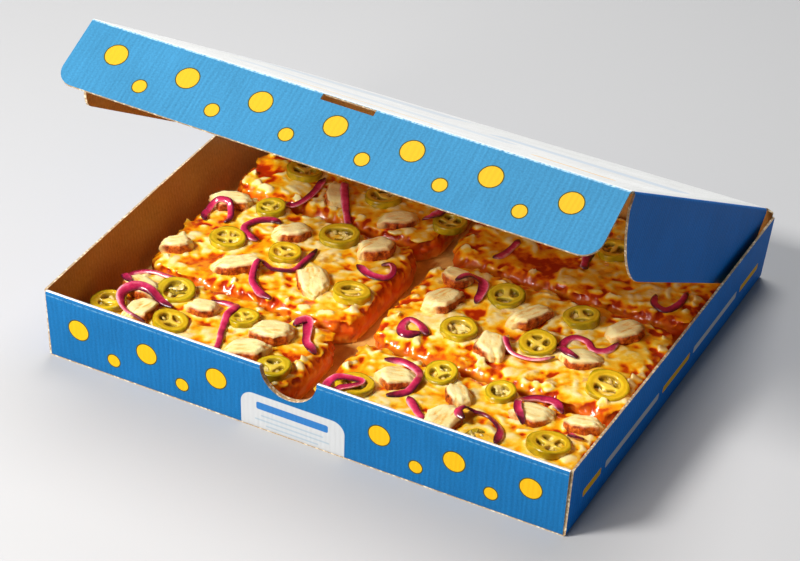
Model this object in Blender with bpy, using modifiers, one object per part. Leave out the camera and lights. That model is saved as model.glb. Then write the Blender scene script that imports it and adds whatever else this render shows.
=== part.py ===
"""A rectangular pan pizza, cut in six, in its open corrugated takeaway box.

The box is one folded blank: a tray, a lid with two side flaps, and a tuck flap
along the lid's front edge. Both folds that move are thin creases. The pizza lies
on the tray's floor in two columns of three slices, with its toppings on top.

Frame: origin at the middle of the tray's underside, +Z up, the front wall at -Y.
"""
import math

import bmesh
import bpy
from mathutils import Matrix, Vector

MM = 0.001

# Board and tray
BOARD = 1.4 * MM
TRAY_WIDTH = 330 * MM
TRAY_DEPTH = 293 * MM
WALL_HEIGHT = 45 * MM
BACK_WALL_HEIGHT = 48.5 * MM
FRONT_WALL = 3.0 * MM
LEAN_LEFT_FRONT = 2.0 * MM
LEAN_LEFT_BACK = 10.0 * MM
LEAN_RIGHT_FRONT = 1.2 * MM
LEAN_RIGHT_BACK = 3.7 * MM
LEAN_FRONT = 1.5 * MM
NOTCH_X = -5.6 * MM
NOTCH_RADIUS = 18 * MM

# Lid, hinged on the middle of the back wall's thickness
HINGE_Y = TRAY_DEPTH / 2 - BOARD / 2
HINGE_Z = 49.6 * MM
LID_HALF_WIDTH = 163.8 * MM
LID_LENGTH = 280.8 * MM
LID_OPEN = math.radians(30.8)
LID_TWIST = math.radians(1.3)
SIDE_FLAP_DEPTH = 47.5 * MM
SIDE_FLAP_LEAN = math.radians(1.8)
SIDE_FLAP_BACK = 4 * MM
SIDE_FLAP_FRONT = LID_LENGTH - 1.7 * MM
SIDE_FLAP_CURVES = {-1: (0.93 * LID_LENGTH, 0.62), 1: (0.79 * LID_LENGTH, 0.74)}  # start and power of the front curve
SIDE_FLAP_CURVE_START = SIDE_FLAP_CURVES[1][0]
CREASE_GAP = 0.8 * MM

# Tuck flap on the lid's front crease
TUCK_DEPTH = 44 * MM
TUCK_HALF_WIDTH = 163.4 * MM
TUCK_FOLD = math.radians(58)
TUCK_CORNER = 11 * MM
SLOT_HALF_WIDTH = 16.2 * MM
SLOT_DEPTH = 4.2 * MM
SLOT_CORNER = 1.6 * MM

# Pizza: two columns and three rows of slices on the tray's floor
TOUCH = 0.3 * MM
SLICE_BOTTOM = BOARD + TOUCH
SLICE_HEIGHT = 16.3 * MM
SLICE_TOP = SLICE_BOTTOM + SLICE_HEIGHT
SLICE_CORNER = 17 * MM
CRUST_WAVE = 1.1 * MM
COLUMNS = {"left": (-160.4 * MM, -14.5 * MM), "right": (-7.5 * MM, 157.5 * MM)}
ROWS = {"front": (-131.5 * MM, -59.3 * MM), "middle": (-58.7 * MM, 44.1 * MM), "back": (44.7 * MM, 143.4 * MM)}
# A slice's side from its foot to its top: share of the height, and how far it pulls in
SLICE_PROFILE = [(0.0, 2.0 * MM), (0.28, 0.5 * MM), (0.6, 0.0), (0.86, 1.6 * MM), (1.0, 5.0 * MM)]

TOPPING_FOOT = SLICE_TOP + TOUCH
PEPPER_THICKNESS = 4.6 * MM
# Pepper rings: x, y, radius, turn in degrees, number of seed chambers (mm and degrees)
PEPPERS = [
    (-149, -108, 11.0, 20, 3), (-121, -78, 12.0, 75, 3), (-107, -107, 11.0, 40, 3), (-72, -82, 9.0, 10, 2),
    (-33, -116, 10.5, 5, 3), (-31, -26, 12.0, 60, 3), (-67, 25, 13.0, 80, 4), (-86, -9, 10.5, 30, 3),
    (-124, -13, 11.5, 15, 3), (-119, 31, 10.0, 50, 3), (-65, 79, 12.0, 0, 3), (41, -27, 11.5, 35, 3),
    (50, 18, 11.5, 10, 3), (87, -17, 11.5, 70, 4), (98, 21, 11.5, 25, 4), (139, -35, 13.0, 45, 2),
    (89, -71, 9.0, 15, 3), (96, -114, 9.5, 0, 3), (133, -101, 12.5, 55, 2), (52, -72, 10.0, 65, 2),
    (15, -107, 11.5, 30, 3),
]
# Chicken pieces: x, y, half length, half width, height, turn in degrees (mm and degrees)
CHICKEN = [
    (-144, 25, 13.0, 9.0, 8.5, 28), (-93, 13, 13.0, 8.5, 8.0, 49), (-40, 23, 14.0, 9.5, 9.0, 57),
    (-104, -35, 16.0, 8.5, 7.5, 45), (-56, -28, 14.0, 10.5, 8.5, -60), (-98, -85, 10.0, 8.0, 7.5, 10),
    (-50, -87, 13.5, 11.0, 8.5, 20), (19, -6, 14.0, 10.5, 7.5, 75), (72, 5, 15.5, 7.5, 9.0, 62),
    (65, -34, 13.0, 9.0, 8.5, -65), (126, 20, 13.0, 9.5, 8.0, 57), (115, -18, 13.0, 8.5, 8.0, 30),
    (70, -86, 9.5, 8.0, 8.0, -50), (114, -80, 12.5, 9.5, 7.5, 10), (142, -75, 11.0, 7.5, 7.5, 12),
    (32, -89, 11.5, 9.5, 8.0, 32), (-92, 66, 13.5, 7.0, 7.0, -68), (-44, 60, 13.5, 7.5, 7.5, 40),
]
# Onion strips: the route of each strip's middle, seen from above (mm)
ONION_RADIUS = 1.6 * MM
ONIONS = [
    [(-105, 19), (-112, 21), (-120, 16), (-123, 5), (-115, -3), (-108, -4)],
    [(-72, 5), (-72, -9), (-74, -22), (-84, -27), (-92, -30), (-90, -42), (-80, -51), (-70, -54)],
    [(-43, 3), (-32, -3), (-22, -2), (-20, 6), (-25, 13), (-30, 10)],
    [(-144, -90), (-153, -84), (-155, -75), (-150, -68), (-140, -66), (-126, -66)],
    [(-114, -93), (-126, -91), (-138, -91), (-144, -98), (-140, -108), (-130, -116), (-118, -117)],
    [(-44, -73), (-40, -64), (-34, -74), (-29, -84), (-20, -90)],
    [(17, -75), (27, -71), (38, -74), (44, -84), (43, -96), (34, -105)],
    [(107, -115), (104, -102), (92, -94), (81, -96), (78, -104), (84, -108)],
    [(127, -69), (117, -62), (108, -64), (103, -74), (106, -85), (113, -92)],
    [(68, -17), (72, -28), (81, -32), (93, -31), (101, -24)],
    [(115, -24), (104, -19), (99, -9), (102, 1), (110, 2), (117, -4), (124, -1), (127, 8)],
    [(19, 12), (24, 20), (31, 24), (35, 16), (37, 3)],
]
ONION_STEP = 4 * MM


def clear_scene():
    for thing in list(bpy.data.objects):
        bpy.data.objects.remove(thing, do_unlink=True)


def new_collection(name):
    collection = bpy.data.collections.new(name)
    bpy.context.scene.collection.children.link(collection)
    return collection


def new_material(name, colour, roughness):
    material = bpy.data.materials.new(name)
    material.use_nodes = True
    shader = material.node_tree.nodes["Principled BSDF"]
    shader.inputs["Base Color"].default_value = (*colour, 1.0)
    shader.inputs["Roughness"].default_value = roughness
    shader.inputs["Metallic"].default_value = 0.0
    return material


def add_object(name, data, material, collection):
    thing = bpy.data.objects.new(name, data)
    data.materials.append(material)
    collection.objects.link(thing)
    return thing


def add_bmesh(name, shape, material, collection, smooth=False):
    bmesh.ops.recalc_face_normals(shape, faces=shape.faces)
    mesh = bpy.data.meshes.new(name)
    shape.to_mesh(mesh)
    shape.free()
    if smooth:
        mesh.shade_smooth()
        mesh.set_sharp_from_angle(angle=math.radians(50))
    return add_object(name, mesh, material, collection)


def block(name, low_corners, high_corners, material, collection):
    """A cube whose corners move to two quads, each given front-left, front-right, back-right, back-left."""
    shape = bmesh.new()
    bmesh.ops.create_cube(shape, size=2.0)
    order = {(-1, -1): 0, (1, -1): 1, (1, 1): 2, (-1, 1): 3}
    for vertex in shape.verts:
        corner = order[(round(vertex.co.x), round(vertex.co.y))]
        vertex.co = Vector(low_corners[corner] if vertex.co.z < 0 else high_corners[corner])
    return add_bmesh(name, shape, material, collection)


def apply_boolean(target, tool, operation):
    modifier = target.modifiers.new(operation.lower(), "BOOLEAN")
    modifier.object = tool
    modifier.operation = operation
    modifier.solver = "EXACT"
    tool.hide_render = True
    tool.display_type = "WIRE"


def wall_shift(side, y, z):
    """How far a side wall leans out at depth y and height z."""
    front, back = (LEAN_LEFT_FRONT, LEAN_LEFT_BACK) if side < 0 else (LEAN_RIGHT_FRONT, LEAN_RIGHT_BACK)
    along = (y + TRAY_DEPTH / 2) / TRAY_DEPTH
    return side * (front + (back - front) * along) * z / WALL_HEIGHT


def tray_ring(z, side_inset, front_inset, back_inset):
    """The tray's four corners at height z, moved in from the outer faces."""
    y_front = -TRAY_DEPTH / 2 - LEAN_FRONT * z / WALL_HEIGHT + front_inset
    y_back = TRAY_DEPTH / 2 - back_inset
    ring = []
    for side, y in ((-1, y_front), (1, y_front), (1, y_back), (-1, y_back)):
        ring.append((side * (TRAY_WIDTH / 2 - side_inset) + wall_shift(side, y, z), y, z))
    return ring


def build_tray(material, parts, tools):
    tray = block("box_tray", tray_ring(0, 0, 0, 0), tray_ring(BACK_WALL_HEIGHT, 0, 0, 0), material, parts)
    cavity = block(
        "tray_cavity",
        tray_ring(BOARD, BOARD, FRONT_WALL, BOARD),
        tray_ring(2 * WALL_HEIGHT, BOARD, FRONT_WALL, BOARD),
        material, tools)
    step = block(
        "tray_step",
        tray_ring(WALL_HEIGHT, -WALL_HEIGHT, -WALL_HEIGHT, BOARD),
        tray_ring(2 * WALL_HEIGHT, -WALL_HEIGHT, -WALL_HEIGHT, BOARD),
        material, tools)
    notch = bmesh.new()
    bmesh.ops.create_cone(
        notch, cap_ends=True, segments=32, radius1=NOTCH_RADIUS, radius2=NOTCH_RADIUS, depth=WALL_HEIGHT,
        matrix=Matrix.Translation((NOTCH_X, -TRAY_DEPTH / 2, WALL_HEIGHT)) @ Matrix.Rotation(math.pi / 2, 4, "X"))
    notch = add_bmesh("thumb_notch", notch, material, tools)
    for tool in (cavity, step, notch):
        apply_boolean(tray, tool, "DIFFERENCE")
    return tray


def lid_directions(angle):
    """Along the lid away from the hinge, and down from its underside, at one opening angle."""
    along = Vector((0, -math.cos(angle), math.sin(angle)))
    down = Vector((0, -math.sin(angle), -math.cos(angle)))
    return along, down


def side_angle(side):
    return LID_OPEN - side * LID_TWIST / 2


def crease_point(side, distance):
    along, _ = lid_directions(side_angle(side))
    return Vector((side * LID_HALF_WIDTH, HINGE_Y, HINGE_Z)) + along * distance


def side_flap_depth(side, distance):
    """The side flap's depth: a short slant at the back, a long curve down from the front."""
    if distance < 3 * SIDE_FLAP_BACK:
        return SIDE_FLAP_DEPTH * (distance - SIDE_FLAP_BACK) / (2 * SIDE_FLAP_BACK)
    start, power = SIDE_FLAP_CURVES[side]
    if distance < start:
        return SIDE_FLAP_DEPTH
    share = (distance - start) / (SIDE_FLAP_FRONT - start)
    return SIDE_FLAP_DEPTH * max(1 - share ** 2, 0.0) ** power


def lid_stations():
    """Distances from the hinge where the lid's mesh has a row of points."""
    curve = [SIDE_FLAP_CURVE_START + (SIDE_FLAP_FRONT - SIDE_FLAP_CURVE_START) * math.sin(math.pi / 2 * i / 8)
             for i in range(9)]
    flat = [3 * SIDE_FLAP_BACK + (SIDE_FLAP_CURVE_START - 3 * SIDE_FLAP_BACK) * i / 3 for i in range(3)]
    return [0.0, SIDE_FLAP_BACK] + flat + curve + [LID_LENGTH - CREASE_GAP]


def build_lid(material, parts):
    """The slightly twisted panel with its two hanging side flaps, as an open sheet with thickness."""
    hinge = Vector((0, HINGE_Y, HINGE_Z))
    stations = lid_stations()
    rows, columns = len(stations) - 1, 6
    shape = bmesh.new()
    bmesh.ops.create_grid(shape, x_segments=columns, y_segments=rows, size=1.0)
    place = {}
    for vertex in shape.verts:
        row = round((vertex.co.y + 1) / 2 * rows)
        across = (vertex.co.x + 1) / 2
        place[vertex] = (row, round(2 * across - 1, 3))
        left, right = crease_point(-1, stations[row]), crease_point(1, stations[row])
        vertex.co = left.lerp(right, across) - hinge
    for side in (-1, 1):
        _, down = lid_directions(side_angle(side))
        down = down * math.cos(SIDE_FLAP_LEAN) - Vector((side * math.sin(SIDE_FLAP_LEAN), 0, 0))
        crease = [edge for edge in shape.edges if all(
            place.get(vertex, (0, 0))[1] == side and
            SIDE_FLAP_BACK <= stations[place[vertex][0]] <= SIDE_FLAP_FRONT for vertex in edge.verts)]
        start = {tuple(vertex.co): stations[place[vertex][0]] for edge in crease for vertex in edge.verts}
        hem = bmesh.ops.extrude_edge_only(shape, edges=crease)["geom"]
        for vertex in hem:
            if isinstance(vertex, bmesh.types.BMVert):
                vertex.co += down * side_flap_depth(side, start[tuple(vertex.co)])
    bmesh.ops.remove_doubles(shape, verts=shape.verts, dist=0.0001)
    lid = add_bmesh("box_lid", shape, material, parts)
    lid.location = hinge
    thickness = lid.modifiers.new("board", "SOLIDIFY")
    thickness.thickness = BOARD
    thickness.offset = 0.0
    thickness.use_even_offset = True
    return lid


def arc(centre, radius, start, end, steps):
    """Points of an arc; the angles are in degrees."""
    points = []
    for i in range(steps + 1):
        angle = math.radians(start + (end - start) * i / steps)
        points.append((centre[0] + radius * math.cos(angle), centre[1] + radius * math.sin(angle)))
    return points


def flat_curve(name, outlines, thickness, material, collection):
    """A flat plate from closed outlines; outlines inside the first one are holes."""
    curve = bpy.data.curves.new(name, "CURVE")
    curve.dimensions = "2D"
    curve.fill_mode = "BOTH"
    curve.extrude = thickness / 2
    for outline in outlines:
        spline = curve.splines.new("POLY")
        spline.points.add(len(outline) - 1)
        for point, (x, y) in zip(spline.points, outline):
            point.co = (x, y, 0, 1)
        spline.use_cyclic_u = True
    return add_object(name, curve, material, collection)


def tuck_outline():
    """The tuck flap seen flat: x along the crease, y away from it, with the slot at the crease."""
    far, half = TUCK_DEPTH, TUCK_HALF_WIDTH
    inner = SLOT_HALF_WIDTH - SLOT_CORNER
    outline = [(-half, CREASE_GAP)]
    outline += [(-SLOT_HALF_WIDTH, CREASE_GAP)]
    outline += arc((-inner, SLOT_DEPTH - SLOT_CORNER), SLOT_CORNER, 180, 90, 3)
    outline += arc((inner, SLOT_DEPTH - SLOT_CORNER), SLOT_CORNER, 90, 0, 3)
    outline += [(SLOT_HALF_WIDTH, CREASE_GAP), (half, CREASE_GAP)]
    outline += arc((half - TUCK_CORNER, far - TUCK_CORNER), TUCK_CORNER, 0, 90, 5)
    outline += arc((-half + TUCK_CORNER, far - TUCK_CORNER), TUCK_CORNER, 90, 180, 5)
    return outline


def build_tuck_flap(material, parts):
    left, right = crease_point(-1, LID_LENGTH), crease_point(1, LID_LENGTH)
    crease = (right - left).normalized()
    along, _ = lid_directions(LID_OPEN)
    along = (along - crease * along.dot(crease)).normalized()
    outward = Matrix.Rotation(TUCK_FOLD, 3, crease) @ along
    normal = crease.cross(outward)
    middle = (left + right) / 2
    flap = flat_curve("box_tuck_flap", [tuck_outline()], BOARD, material, parts)
    flap.matrix_world = Matrix((
        (crease.x, outward.x, normal.x, middle.x),
        (crease.y, outward.y, normal.y, middle.y),
        (crease.z, outward.z, normal.z, middle.z),
        (0, 0, 0, 1)))
    return flap


def loft(rings):
    """A closed solid through rings of points, all with the same number of points."""
    shape = bmesh.new()
    rows = [[shape.verts.new(point) for point in ring] for ring in rings]
    count = len(rows[0])
    for low, high in zip(rows, rows[1:]):
        for i in range(count):
            j = (i + 1) % count
            shape.faces.new((low[i], low[j], high[j], high[i]))
    shape.faces.new(list(reversed(rows[0])))
    shape.faces.new(rows[-1])
    return shape


def rounded_rectangle(half_x, half_y, radius):
    outline = []
    for sign_x, sign_y, start in ((1, 1, 0), (-1, 1, 90), (-1, -1, 180), (1, -1, 270)):
        centre = (sign_x * (half_x - radius), sign_y * (half_y - radius))
        outline += arc(centre, radius, start, start + 90, 4)
    full = []
    for i, (x, y) in enumerate(outline):
        full.append((x, y))
        if i % 5 == 4:
            next_x, next_y = outline[(i + 1) % len(outline)]
            full += [(x + (next_x - x) * k / 4, y + (next_y - y) * k / 4) for k in (1, 2, 3)]
    return full


def build_slice(name, x_range, y_range, phase, material, parts):
    centre_x, centre_y = sum(x_range) / 2, sum(y_range) / 2
    half_x, half_y = (x_range[1] - x_range[0]) / 2, (y_range[1] - y_range[0]) / 2
    rings = []
    for share, pull in SLICE_PROFILE:
        ring = []
        for i, (x, y) in enumerate(rounded_rectangle(half_x, half_y, SLICE_CORNER)):
            wave = CRUST_WAVE * (1 + math.sin(2.3 * i + phase + 2 * share)) / 2
            shrink_x, shrink_y = 1 - (pull + wave) / half_x, 1 - (pull + wave) / half_y
            ring.append((centre_x + x * shrink_x, centre_y + y * shrink_y, SLICE_BOTTOM + SLICE_HEIGHT * share))
        rings.append(ring)
    return add_bmesh(name, loft(rings), material, parts, smooth=True)


def build_pepper(index, entry, material, parts):
    """A slice of pickled pepper: a round wall with seed chambers round its core."""
    x, y, radius, turn, chambers = entry
    radius *= MM
    outer = [(radius * (1 + 0.03 * math.cos(2 * a)) * math.cos(a), radius * 0.97 * math.sin(a))
             for a in (2 * math.pi * i / 14 for i in range(14))]
    outlines = [outer]
    chamber_radius = radius * (0.3 if chambers < 4 else 0.24)
    for k in range(chambers):
        angle = 2 * math.pi * k / chambers
        centre = (radius * 0.47 * math.cos(angle), radius * 0.47 * math.sin(angle))
        outlines.append(arc(centre, chamber_radius, 0, 300, 5))
    pepper = flat_curve(f"pepper_{index:02d}", outlines, PEPPER_THICKNESS, material, parts)
    pepper.location = (x * MM, y * MM, TOPPING_FOOT + PEPPER_THICKNESS / 2)
    pepper.rotation_euler = (0, 0, math.radians(turn))
    return pepper


def build_chicken(index, entry, material, parts):
    """A cut piece of chicken breast: an uneven slab with its edges rounded off."""
    x, y, half_length, half_width, height, turn = entry
    rings = []
    for share, scale in ((0.0, 0.86), (0.35, 1.0), (0.8, 0.95), (1.0, 0.78)):
        ring = []
        for i in range(9):
            angle = 2 * math.pi * i / 9
            bump = 1 + 0.1 * math.sin(3.1 * i + 1.7 * index)
            ring.append((half_length * MM * bump * scale * math.cos(angle),
                         half_width * MM * bump * scale * math.sin(angle), height * MM * share))
        rings.append(ring)
    piece = add_bmesh(f"chicken_{index:02d}", loft(rings), material, parts, smooth=True)
    piece.location = (x * MM, y * MM, TOPPING_FOOT)
    piece.rotation_euler = (0, 0, math.radians(turn))
    return piece


def topping_height(x, y, margin):
    """The height of what lies under a point of the pizza's top."""
    height = SLICE_TOP
    for px, py, radius, _, _ in PEPPERS:
        if math.hypot(x - px * MM, y - py * MM) < radius * MM + margin:
            height = max(height, TOPPING_FOOT + PEPPER_THICKNESS)
    for px, py, half_length, half_width, tall, turn in CHICKEN:
        local = Matrix.Rotation(-math.radians(turn), 2) @ Vector((x - px * MM, y - py * MM))
        if math.hypot(local.x / (1.1 * half_length * MM + margin), local.y / (1.1 * half_width * MM + margin)) < 1:
            height = max(height, TOPPING_FOOT + tall * MM)
    return height


def smooth_route(points):
    """A Catmull-Rom curve through the route's points, with a point about every ONION_STEP."""
    points = [Vector(point) * MM for point in points]
    padded = [2 * points[0] - points[1]] + points + [2 * points[-1] - points[-2]]
    route = []
    for before, start, end, after in zip(padded, padded[1:], padded[2:], padded[3:]):
        steps = max(1, round((end - start).length / ONION_STEP))
        for k in range(steps):
            t = k / steps
            route.append(0.5 * (2 * start + (end - before) * t + (2 * before - 5 * start + 4 * end - after) * t ** 2
                                + (3 * start - before - 3 * end + after) * t ** 3))
    return route + [points[-1]]


def build_onion(index, points, material, parts):
    """A curled strip of onion that climbs over the toppings in its way."""
    curve = bpy.data.curves.new(f"onion_{index:02d}", "CURVE")
    curve.dimensions = "3D"
    curve.bevel_depth = ONION_RADIUS
    curve.bevel_resolution = 1
    curve.use_fill_caps = True
    route = smooth_route(points)
    spline = curve.splines.new("POLY")
    spline.points.add(len(route) - 1)
    for point, place in zip(spline.points, route):
        height = topping_height(place.x, place.y, ONION_RADIUS + 0.8 * ONION_STEP) + TOUCH + ONION_RADIUS
        point.co = (place.x, place.y, height, 1)
    return add_object(f"onion_{index:02d}", curve, material, parts)


def main():
    clear_scene()
    parts = new_collection("pizza_in_box")
    tools = new_collection("cutters")
    blue_board = new_material("blue_board", (0.05, 0.24, 0.55), 0.6)
    white_board = new_material("white_board", (0.85, 0.85, 0.83), 0.55)
    cheese = new_material("cheese", (0.85, 0.52, 0.16), 0.4)
    pepper_green = new_material("pepper_green", (0.42, 0.4, 0.05), 0.25)
    chicken_white = new_material("chicken_white", (0.86, 0.7, 0.42), 0.5)
    onion_purple = new_material("onion_purple", (0.4, 0.05, 0.16), 0.3)
    build_tray(blue_board, parts, tools)
    build_lid(white_board, parts)
    build_tuck_flap(blue_board, parts)
    for row, (row_name, y_range) in enumerate(ROWS.items()):
        for column, (column_name, x_range) in enumerate(COLUMNS.items()):
            name = f"slice_{column_name}_{row_name}"
            build_slice(name, x_range, y_range, 1.3 * row + 2.1 * column, cheese, parts)
    for index, entry in enumerate(PEPPERS, 1):
        build_pepper(index, entry, pepper_green, parts)
    for index, entry in enumerate(CHICKEN, 1):
        build_chicken(index, entry, chicken_white, parts)
    for index, points in enumerate(ONIONS, 1):
        build_onion(index, points, onion_purple, parts)


main()
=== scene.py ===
import math

import bmesh
import bpy
import numpy as np
from mathutils import Matrix, Vector
from mathutils.bvhtree import BVHTree


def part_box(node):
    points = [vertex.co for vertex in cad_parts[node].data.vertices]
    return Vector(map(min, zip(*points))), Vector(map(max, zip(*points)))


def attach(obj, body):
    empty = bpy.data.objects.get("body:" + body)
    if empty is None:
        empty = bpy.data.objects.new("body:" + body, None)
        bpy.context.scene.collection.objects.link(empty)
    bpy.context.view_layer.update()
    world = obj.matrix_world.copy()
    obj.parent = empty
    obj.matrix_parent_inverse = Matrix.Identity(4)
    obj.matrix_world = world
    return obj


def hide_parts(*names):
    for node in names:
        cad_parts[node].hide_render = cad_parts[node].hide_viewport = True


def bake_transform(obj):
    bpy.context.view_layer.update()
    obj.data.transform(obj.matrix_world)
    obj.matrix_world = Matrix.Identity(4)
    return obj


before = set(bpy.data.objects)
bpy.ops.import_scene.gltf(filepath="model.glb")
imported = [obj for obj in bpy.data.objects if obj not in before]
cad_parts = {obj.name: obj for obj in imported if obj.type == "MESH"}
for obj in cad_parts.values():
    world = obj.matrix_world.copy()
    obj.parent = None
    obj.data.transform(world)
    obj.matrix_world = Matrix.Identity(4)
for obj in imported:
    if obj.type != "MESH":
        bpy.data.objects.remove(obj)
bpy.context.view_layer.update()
MM, QUARTER = 0.001, math.pi / 2

# ---------------------------------------------------------------- box dimensions, as in the CAD
WIDTH, DEPTH, WALL = 330 * MM, 293 * MM, 45 * MM
BOARD, FOLD = 1.4 * MM, 1.8 * MM
LEAN_LEFT, LEAN_RIGHT, LEAN_FRONT = (2.0 * MM, 10.0 * MM), (1.2 * MM, 3.7 * MM), 1.5 * MM
HINGE = Vector((0, DEPTH / 2 - BOARD / 2, 49.6 * MM))
LID_HALF, LID_LENGTH = 163.8 * MM, 280.8 * MM
LID_OPEN, LID_TWIST = math.radians(30.8), math.radians(1.3)
FLAP_DEPTH, FLAP_LEAN = 47.5 * MM, math.radians(1.8)
BACK_TOP = 44 * MM
TUCK_DEPTH, TUCK_HALF, TUCK_FOLD = 44 * MM, 163.4 * MM, math.radians(58)
SLICE_FOOT, SLICE_TOP, PEPPER_THICKNESS = 1.7 * MM, 18.0 * MM, 5.0 * MM


# ---------------------------------------------------------------- camera, lights and floor
def link(name, data):
    thing = bpy.data.objects.new(name, data)
    bpy.context.scene.collection.objects.link(thing)
    return thing


def axes_matrix(x, y, z, place):
    """The matrix that takes the three unit axes to x, y and z, and the origin to place."""
    return Matrix([(*axis, 0) for axis in (x, y, z)] + [(*place, 1)]).transposed()


def photo_camera():
    """A long lens from the front right, a little rolled, aimed at the tray's floor."""
    azimuth, pitch, roll = 0.4569, 0.5906, 0.0469
    target, distance = Vector((-0.02567, 0.01923, 0)), 1.5657
    image_width, focal_px, shift_px, sensor_width = 800, 2563, (6.5, 6.4), 36.0
    forward = Vector((-math.sin(azimuth) * math.cos(pitch), math.cos(azimuth) * math.cos(pitch),
                      -math.sin(pitch)))
    right = forward.cross(Vector((0, 0, 1))).normalized()
    up = right.cross(forward)
    camera = link("camera", bpy.data.cameras.new("camera"))
    camera.matrix_world = axes_matrix(math.cos(roll) * right + math.sin(roll) * up,
                                      -math.sin(roll) * right + math.cos(roll) * up,
                                      -forward, target - forward * distance)
    camera.data.sensor_width = sensor_width
    camera.data.lens = focal_px * sensor_width / image_width
    camera.data.shift_x, camera.data.shift_y = (shift / image_width for shift in shift_px)
    camera.data.clip_start, camera.data.clip_end = 0.05, 20.0
    bpy.context.scene.camera = camera


def studio():
    for name, place, aim_height, size, power, colour in (
            ("key", (-0.85, -1.10, 1.25), 0.03, 0.5, 45, (1.0, 0.98, 0.94)),
            ("top", (-0.2, 0.5, 1.7), 0.05, 0.9, 23, (1.0, 0.99, 0.97)),
            ("front", (-0.35, -1.7, 0.55), 0.05, 0.9, 13, (1.0, 0.97, 0.93))):
        light = bpy.data.lights.new(name, "AREA")
        light.shape, light.size, light.energy, light.color = "DISK", size, power, colour
        thing = link(name, light)
        thing.location = place
        thing.rotation_mode = "QUATERNION"
        thing.rotation_quaternion = (Vector((0, 0, aim_height)) - Vector(place)).to_track_quat("-Z", "Y")

    world = bpy.data.worlds.new("studio")
    world.use_nodes = True
    background = world.node_tree.nodes["Background"]
    background.inputs["Color"].default_value = (0.72, 0.86, 1.0, 1)
    background.inputs["Strength"].default_value = 0.13
    bpy.context.scene.world = world
    bpy.context.scene.view_settings.view_transform = "Standard"

    size = 3
    mesh = bpy.data.meshes.new("floor")
    mesh.from_pydata([(-size, -size, 0), (size, -size, 0), (size, size, 0), (-size, size, 0)], [],
                     [(0, 1, 2, 3)])
    mesh.materials.append(Paint("floor", Base_Color=(0.44, 0.44, 0.45), Roughness=0.7).material)
    link("floor", mesh)


# ---------------------------------------------------------------- materials
class Value:
    """A node's output, which takes part in plain sums."""

    def __init__(self, paint, socket):
        self.paint, self.socket = paint, socket

    def math(self, operation, other=0.0):
        return self.paint.math(operation, self, other)

    def __add__(self, other):
        return self.math("ADD", other)

    def __sub__(self, other):
        return self.math("SUBTRACT", other)

    def __rsub__(self, other):
        return self.paint.math("SUBTRACT", other, self)

    def __mul__(self, other):
        return self.math("MULTIPLY", other)

    def swing(self, amount):
        """This noise about zero, amount in all."""
        return (self - 0.5) * amount

    def step(self, low, high):
        """How far this lies from low to high, kept from 0 to 1, with soft ends."""
        return self.paint.node("MapRange", settings={"interpolation_type": "SMOOTHSTEP"},
                               i0=self, i1=low, i2=high, i3=0.0, i4=1.0)


class Paint:
    """One node material with short names for the nodes it is built from."""

    def __init__(self, name, **inputs):
        self.material = bpy.data.materials.new(name)
        self.material.use_nodes = True
        self.tree = self.material.node_tree
        self.inputs = self.tree.nodes["Principled BSDF"].inputs
        self.coords = None
        for key, value in inputs.items():
            self.put(self.inputs[key.replace("_", " ")], value)

    def put(self, socket, value):
        if isinstance(value, Value):
            self.tree.links.new(value.socket, socket)
        elif socket.type == "RGBA":
            socket.default_value = (*value, 1.0)
        else:
            socket.default_value = value

    def node(self, kind, output=0, settings=(), **inputs):
        """A new node's output; an input is named, or numbered as i0, i1 and so on."""
        made = self.tree.nodes.new("ShaderNode" + kind)
        for key, value in dict(settings).items():
            setattr(made, key, value)
        for key, value in inputs.items():
            self.put(made.inputs[int(key[1:]) if key[1:].isdigit() else key], value)
        return Value(self, made.outputs[output])

    def math(self, operation, a, b):
        return self.node("Math", settings={"operation": operation}, i0=a, i1=b)

    def on_sheet(self):
        """Works in the board's own coordinates in metres, and returns u along the wall and v up it."""
        self.coords = self.node("UVMap", settings={"uv_map": "sheet"})
        return [self.node("SeparateXYZ", output=k, i0=self.coords) for k in (0, 1)]

    def noise(self, scale, detail=2.0, roughness=0.5, stretch=None):
        """Noise with scale lumps to the metre, longer along v by 1 / stretch."""
        self.coords = self.coords or self.node("TexCoord", output="Object")
        place = self.node("Mapping", Vector=self.coords, Scale=(1, stretch, 1)) if stretch else self.coords
        return self.node("TexNoise", Vector=place, Scale=scale, Detail=detail, Roughness=roughness)

    def mix(self, share, a, b, blend="MIX"):
        return self.node("Mix", output=2, settings={"data_type": "RGBA", "blend_type": blend},
                         i0=share, i6=a, i7=b)

    def ramp(self, value, *stops):
        made = self.tree.nodes.new("ShaderNodeValToRGB")
        elements = made.color_ramp.elements
        while len(elements) < len(stops):
            elements.new(0.5)
        for element, (place, *colour) in zip(elements, stops):
            element.position, element.color = place, (*colour, 1.0)
        self.put(made.inputs[0], value)
        return Value(self, made.outputs[0])

    def attribute(self, name):
        return self.node("Attribute", output="Fac", settings={"attribute_name": name})

    def finish(self, colour, height, strength, distance):
        """Gives the shader its colour and relief."""
        self.put(self.inputs["Base Color"], colour)
        self.put(self.inputs["Normal"],
                 self.node("Bump", Height=height, Strength=strength, Distance=distance))
        return self.material


FLUTE_TURNS = 2 * math.pi / (3.1 * MM)


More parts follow.
